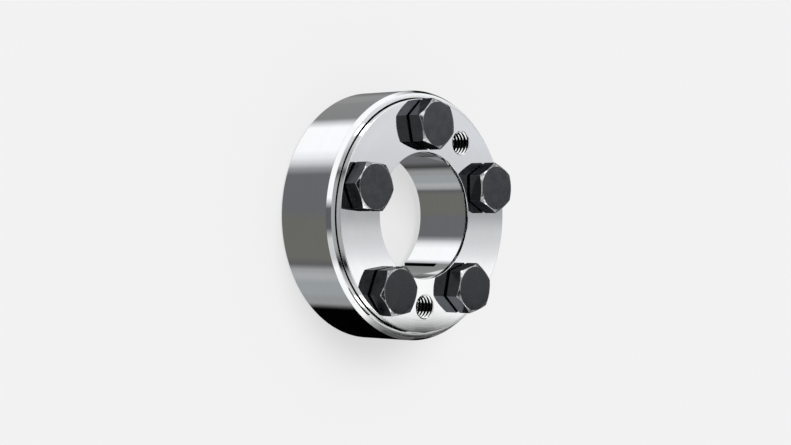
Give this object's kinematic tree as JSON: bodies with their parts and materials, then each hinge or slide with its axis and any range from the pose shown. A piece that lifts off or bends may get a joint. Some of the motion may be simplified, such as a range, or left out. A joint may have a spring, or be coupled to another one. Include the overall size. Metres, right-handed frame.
{
  "type": "shrink disc",
  "caption": "Round two-part clamping collar: tapered outer ring, flanged inner ring with a slit sleeve, and hexagon screws that draw them together to grip a shaft.",
  "frame": {"origin": "centre of the outer ring's rear face, on the disc's axis", "axes": "+Z along the disc's axis, out of the face with the screw heads; +Y through screw_1"},
  "size_m": [0.072, 0.072, 0.0272],
  "materials": {
    "polished_steel": "finely turned and polished bare steel, mirror-bright",
    "black_steel": "black oxide on steel, satin"
  },
  "bodies": {
    "outer_ring": {"outer_ring": "polished_steel"},
    "inner_ring": {"inner_ring": "polished_steel"},
    "screw_1": {"screw_1": "black_steel"},
    "screw_2": {"screw_2": "black_steel"},
    "screw_3": {"screw_3": "black_steel"},
    "screw_4": {"screw_4": "black_steel"},
    "screw_5": {"screw_5": "black_steel"}
  },
  "joints": [
    {"name": "clamp_slide", "type": "slide", "parent": "outer_ring", "child": "inner_ring", "axis": [0, 0, -1], "range_m": [0, 0.0019]},
    {"name": "screw_1_turn", "type": "hinge", "parent": "inner_ring", "child": "screw_1", "pos_m": [0, 0.0262, 0.0219], "axis": [0, 0, -1], "range_deg": [0, 547.2]},
    {"name": "screw_2_turn", "type": "hinge", "parent": "inner_ring", "child": "screw_2", "pos_m": [-0.02491, 0.0081, 0.0219], "axis": [0, 0, -1], "range_deg": [0, 547.2]},
    {"name": "screw_3_turn", "type": "hinge", "parent": "inner_ring", "child": "screw_3", "pos_m": [-0.0154, -0.02119, 0.0219], "axis": [0, 0, -1], "range_deg": [0, 547.2]},
    {"name": "screw_4_turn", "type": "hinge", "parent": "inner_ring", "child": "screw_4", "pos_m": [0.0154, -0.02119, 0.0219], "axis": [0, 0, -1], "range_deg": [0, 547.2]},
    {"name": "screw_5_turn", "type": "hinge", "parent": "inner_ring", "child": "screw_5", "pos_m": [0.02491, 0.0081, 0.0219], "axis": [0, 0, -1], "range_deg": [0, 547.2]}
  ],
  "couplings": [
    {"joint": "screw_1_turn", "follows": "clamp_slide", "rad_per_m": 5026.5},
    {"joint": "screw_2_turn", "follows": "clamp_slide", "rad_per_m": 5026.5},
    {"joint": "screw_3_turn", "follows": "clamp_slide", "rad_per_m": 5026.5},
    {"joint": "screw_4_turn", "follows": "clamp_slide", "rad_per_m": 5026.5},
    {"joint": "screw_5_turn", "follows": "clamp_slide", "rad_per_m": 5026.5}
  ]
}
